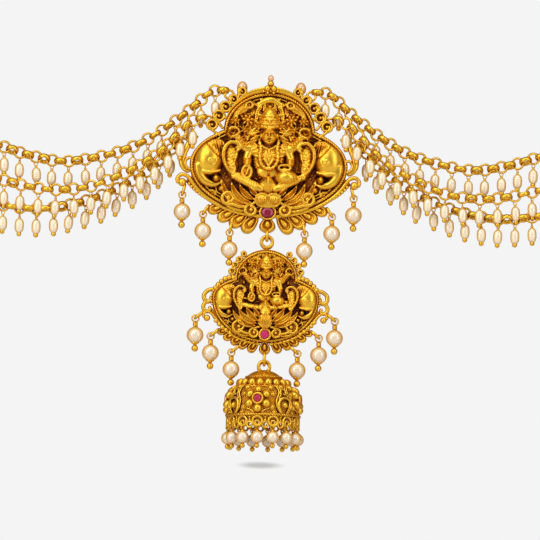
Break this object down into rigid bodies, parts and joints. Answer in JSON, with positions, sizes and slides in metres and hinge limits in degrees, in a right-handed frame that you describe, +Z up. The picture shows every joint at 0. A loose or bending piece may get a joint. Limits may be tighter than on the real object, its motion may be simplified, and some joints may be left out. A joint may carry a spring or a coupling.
{
  "type": "hair brooch",
  "caption": "Temple-style gold hair brooch: a relief plaque with pearl-fringed chains at each side, a smaller plaque and a bell-shaped drop hanging below.",
  "frame": {"origin": "centre of the main plaque's back face, where the hair pin is fixed", "axes": "+X along the chains to the wearer's left as seen from the front, +Y backwards into the hair, +Z up"},
  "size_m": [0.2092, 0.028, 0.1248],
  "materials": {
    "antique_gold": "cast relief, antique gold plating with dark patina in the recesses",
    "pearl": "cream pearl lustre",
    "peach_pearl": "peach pearl lustre",
    "ruby": "polished cut stone",
    "pink_stone": "polished cut stone",
    "rose_stone": "polished cut stone"
  },
  "bodies": {
    "brooch": {"main_plaque": "antique_gold", "main_ruby": "ruby", "top_pearl_left": "peach_pearl", "top_pearl_right": "peach_pearl", "finial_pearl": "peach_pearl", "main_pearl_1": "pearl", "main_pin_1": "antique_gold", "main_pearl_2": "pearl", "main_pin_2": "antique_gold", "main_pearl_3": "pearl", "main_pin_3": "antique_gold", "main_pearl_4": "pearl", "main_pin_4": "antique_gold", "main_pearl_5": "pearl", "main_pin_5": "antique_gold", "main_pearl_6": "pearl", "main_pin_6": "antique_gold", "left_top_strand": "antique_gold", "left_middle_strand": "antique_gold", "left_lower_strand": "antique_gold", "right_top_strand": "antique_gold", "right_middle_strand": "antique_gold", "right_lower_strand": "antique_gold", "left_end_bar": "antique_gold", "right_end_bar": "antique_gold", "hair_pin": "antique_gold"},
    "middle_drop": {"middle_plaque": "antique_gold", "middle_ruby": "pink_stone", "middle_pearl_1": "pearl", "middle_pin_1": "antique_gold", "middle_pearl_2": "pearl", "middle_pin_2": "antique_gold", "middle_pearl_3": "pearl", "middle_pin_3": "antique_gold", "middle_pearl_4": "pearl", "middle_pin_4": "antique_gold", "middle_pearl_5": "pearl", "middle_pin_5": "antique_gold", "middle_pearl_6": "pearl", "middle_pin_6": "antique_gold"},
    "bell_drop": {"bell": "antique_gold", "bell_ruby_1": "rose_stone", "bell_ruby_2": "rose_stone", "bell_ruby_3": "rose_stone", "bell_ruby_4": "rose_stone", "bell_drop_01": "pearl", "bell_drop_02": "pearl", "bell_drop_03": "pearl", "bell_drop_04": "pearl", "bell_drop_05": "pearl", "bell_drop_06": "pearl", "bell_drop_07": "pearl", "bell_drop_08": "pearl", "bell_drop_09": "pearl", "bell_drop_10": "pearl", "bell_drop_11": "pearl", "bell_drop_12": "pearl", "bell_drop_13": "pearl", "bell_drop_14": "pearl"}
  },
  "joints": [
    {"name": "middle_swing", "type": "hinge", "parent": "brooch", "child": "middle_drop", "pos_m": [0, -0.0015, -0.0289], "axis": [1, 0, 0], "range_deg": [-75, 75]},
    {"name": "bell_swing", "type": "hinge", "parent": "middle_drop", "child": "bell_drop", "pos_m": [0, -0.0015, -0.0705], "axis": [1, 0, 0], "range_deg": [-75, 75]}
  ]
}
